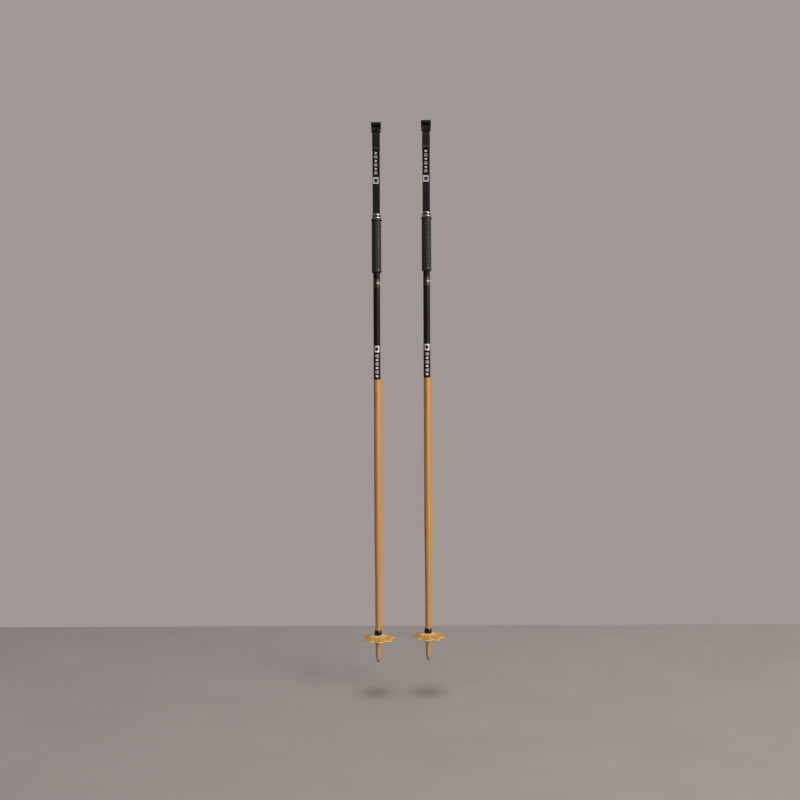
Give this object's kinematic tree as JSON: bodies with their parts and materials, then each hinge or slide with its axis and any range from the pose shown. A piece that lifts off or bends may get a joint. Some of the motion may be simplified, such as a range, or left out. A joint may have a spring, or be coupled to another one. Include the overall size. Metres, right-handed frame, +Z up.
{
  "type": "pair of ski poles",
  "caption": "Pair of one-piece ski poles with webbing wrist straps, cam buckles, ribbed rubber grips, tapered shafts, petal-edged powder baskets and ferrule tips.",
  "frame": {"origin": "on the axis of the bar that the left wrist strap hangs on, at the middle of the strap's width", "axes": "+X along the bar from the left pole to the right pole, +Y to the back of the poles, +Z up along the shafts"},
  "size_m": [0.2215, 0.0876, 1.4518],
  "materials": {
    "webbing": "woven flat webbing, charcoal",
    "lining": "soft brushed lining, dark grey",
    "label": "woven label, black with plain light shapes",
    "buckle_plastic": "moulded, satin black",
    "lever_plastic": "moulded, dark grey",
    "polished_metal": "polished",
    "gloss_band": "gloss black",
    "inner_plastic": "moulded, hidden inside",
    "grip_rubber": "black rubber with a raised diamond lattice",
    "shaft_gold": "satin mustard gold",
    "shaft_film": "satin black printed film",
    "collar_plastic": "glossy near-black",
    "basket_plastic": "translucent amber, semi-gloss",
    "ferrule_gold": "semi-gloss tan gold",
    "steel": "ground steel"
  },
  "bodies": {
    "left_strap": {"left_strap_crown": "webbing", "left_strap_front": "webbing", "left_strap_back": "webbing", "left_strap_lining": "lining", "left_strap_label": "label", "left_buckle_frame": "buckle_plastic", "left_buckle_pin": "polished_metal"},
    "left_lever": {"left_buckle_lever": "lever_plastic"},
    "left_pole": {"left_strap_anchor": "webbing", "left_strap_pin": "steel", "left_cap_ring_upper": "polished_metal", "left_cap_band": "gloss_band", "left_cap_ring_lower": "polished_metal", "left_head_core": "inner_plastic", "left_grip_core": "inner_plastic", "left_grip_sleeve": "grip_rubber", "left_shaft": "shaft_gold", "left_shaft_wrap": "shaft_film", "left_basket_collar": "collar_plastic", "left_basket": "basket_plastic", "left_ferrule": "ferrule_gold", "left_steel_tip": "steel"},
    "right_strap": {"right_strap_crown": "webbing", "right_strap_front": "webbing", "right_strap_back": "webbing", "right_strap_lining": "lining", "right_strap_label": "label", "right_buckle_frame": "buckle_plastic", "right_buckle_pin": "polished_metal"},
    "right_lever": {"right_buckle_lever": "lever_plastic"},
    "right_pole": {"right_strap_anchor": "webbing", "right_strap_pin": "steel", "right_cap_ring_upper": "polished_metal", "right_cap_band": "gloss_band", "right_cap_ring_lower": "polished_metal", "right_head_core": "inner_plastic", "right_grip_core": "inner_plastic", "right_grip_sleeve": "grip_rubber", "right_shaft": "shaft_gold", "right_shaft_wrap": "shaft_film", "right_basket_collar": "collar_plastic", "right_basket": "basket_plastic", "right_ferrule": "ferrule_gold", "right_steel_tip": "steel"}
  },
  "joints": [
    {"name": "right_strap_slide", "type": "slide", "parent": "left_strap", "child": "right_strap", "axis": [1, 0, 0], "range_m": [-0.038, 0.25]},
    {"name": "left_pole_swing", "type": "hinge", "parent": "left_strap", "child": "left_pole", "pos_m": [0, 0, -0.2074], "axis": [1, 0, 0], "range_deg": [-90, 90]},
    {"name": "left_buckle_lever", "type": "hinge", "parent": "left_strap", "child": "left_lever", "pos_m": [0, -0.0014, 0.0205], "axis": [-1, 0, 0], "range_deg": [0, 75]},
    {"name": "right_pole_swing", "type": "hinge", "parent": "right_strap", "child": "right_pole", "pos_m": [0.134, 0, -0.2024], "axis": [1, 0, 0], "range_deg": [-90, 90]},
    {"name": "right_buckle_lever", "type": "hinge", "parent": "right_strap", "child": "right_lever", "pos_m": [0.134, -0.0014, 0.0255], "axis": [-1, 0, 0], "range_deg": [0, 75]}
  ]
}
